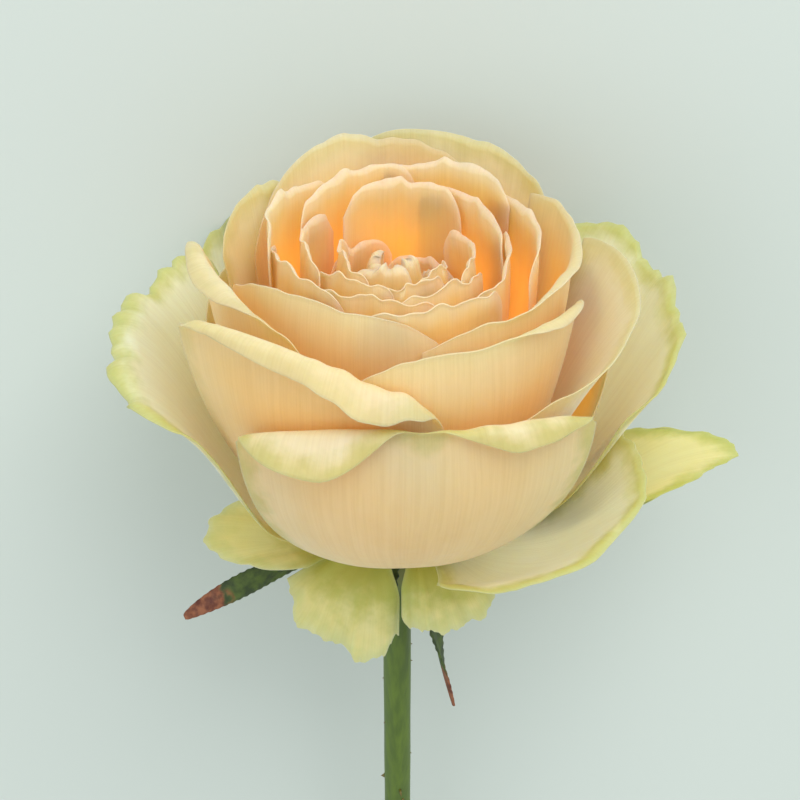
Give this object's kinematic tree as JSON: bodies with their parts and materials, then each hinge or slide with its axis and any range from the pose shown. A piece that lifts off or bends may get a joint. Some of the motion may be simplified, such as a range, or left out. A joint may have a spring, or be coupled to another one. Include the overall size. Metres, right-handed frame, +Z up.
{
  "type": "cut rose",
  "caption": "Open rose bloom on a short cut stem, lying on its side: spiralled petals with rolled rims, reflexed outer petals, slender sepals and a round hip.",
  "frame": {"origin": "on the table plane, under the middle of the rose's bounding box", "axes": "+Y from the stem's cut end towards the bloom, +Z up from the table the rose lies on, +X across it"},
  "size_m": [0.111, 0.2152, 0.0828],
  "materials": {
    "outer_petal": "soft satin petal, greenish cream with green rims",
    "cup_petal": "soft satin petal, cream to peach with fine lengthwise veins",
    "inner_petal": "soft satin petal, peach to warm orange",
    "sepal": "matte dark green leaf with dry brown tip",
    "stem": "smooth waxy green stem"
  },
  "bodies": {
    "root": {"petal_cup_back": "cup_petal", "petal_cup_front": "cup_petal", "petal_cup_front_left": "cup_petal", "petal_cup_front_right": "cup_petal", "petal_cup_inner_back": "cup_petal", "petal_cup_inner_left": "cup_petal", "petal_cup_inner_right": "cup_petal", "petal_cup_left": "cup_petal", "petal_cup_low_left": "cup_petal", "petal_cup_low_right": "cup_petal", "petal_cup_right": "cup_petal", "petal_cup_top_left": "cup_petal", "petal_cup_top_right": "cup_petal", "petal_guard_back_left": "outer_petal", "petal_guard_back_right": "outer_petal", "petal_guard_front": "outer_petal", "petal_guard_left": "outer_petal", "petal_guard_right": "outer_petal", "petal_inner_01": "inner_petal", "petal_inner_02": "inner_petal", "petal_inner_03": "inner_petal", "petal_inner_04": "inner_petal", "petal_inner_05": "inner_petal", "petal_inner_06": "inner_petal", "petal_inner_07": "inner_petal", "petal_inner_08": "inner_petal", "petal_inner_09": "inner_petal", "petal_inner_10": "inner_petal", "petal_inner_11": "inner_petal", "petal_inner_12": "inner_petal", "petal_inner_13": "inner_petal", "petal_inner_14": "inner_petal", "petal_inner_15": "inner_petal", "petal_inner_16": "inner_petal", "petal_inner_17": "inner_petal", "petal_inner_18": "inner_petal", "petal_inner_19": "inner_petal", "petal_inner_20": "inner_petal", "petal_inner_21": "inner_petal", "petal_inner_22": "inner_petal", "petal_inner_23": "inner_petal", "petal_inner_24": "inner_petal", "petal_outer_back_left": "outer_petal", "petal_outer_back_right": "outer_petal", "petal_outer_front_right": "outer_petal", "petal_outer_left": "outer_petal", "petal_outer_right": "outer_petal", "petal_outer_right_low": "outer_petal", "sepal_back_left": "sepal", "sepal_back_right": "sepal", "sepal_front": "sepal", "sepal_left": "sepal", "sepal_right": "sepal", "stem": "stem"}
  },
  "joints": []
}
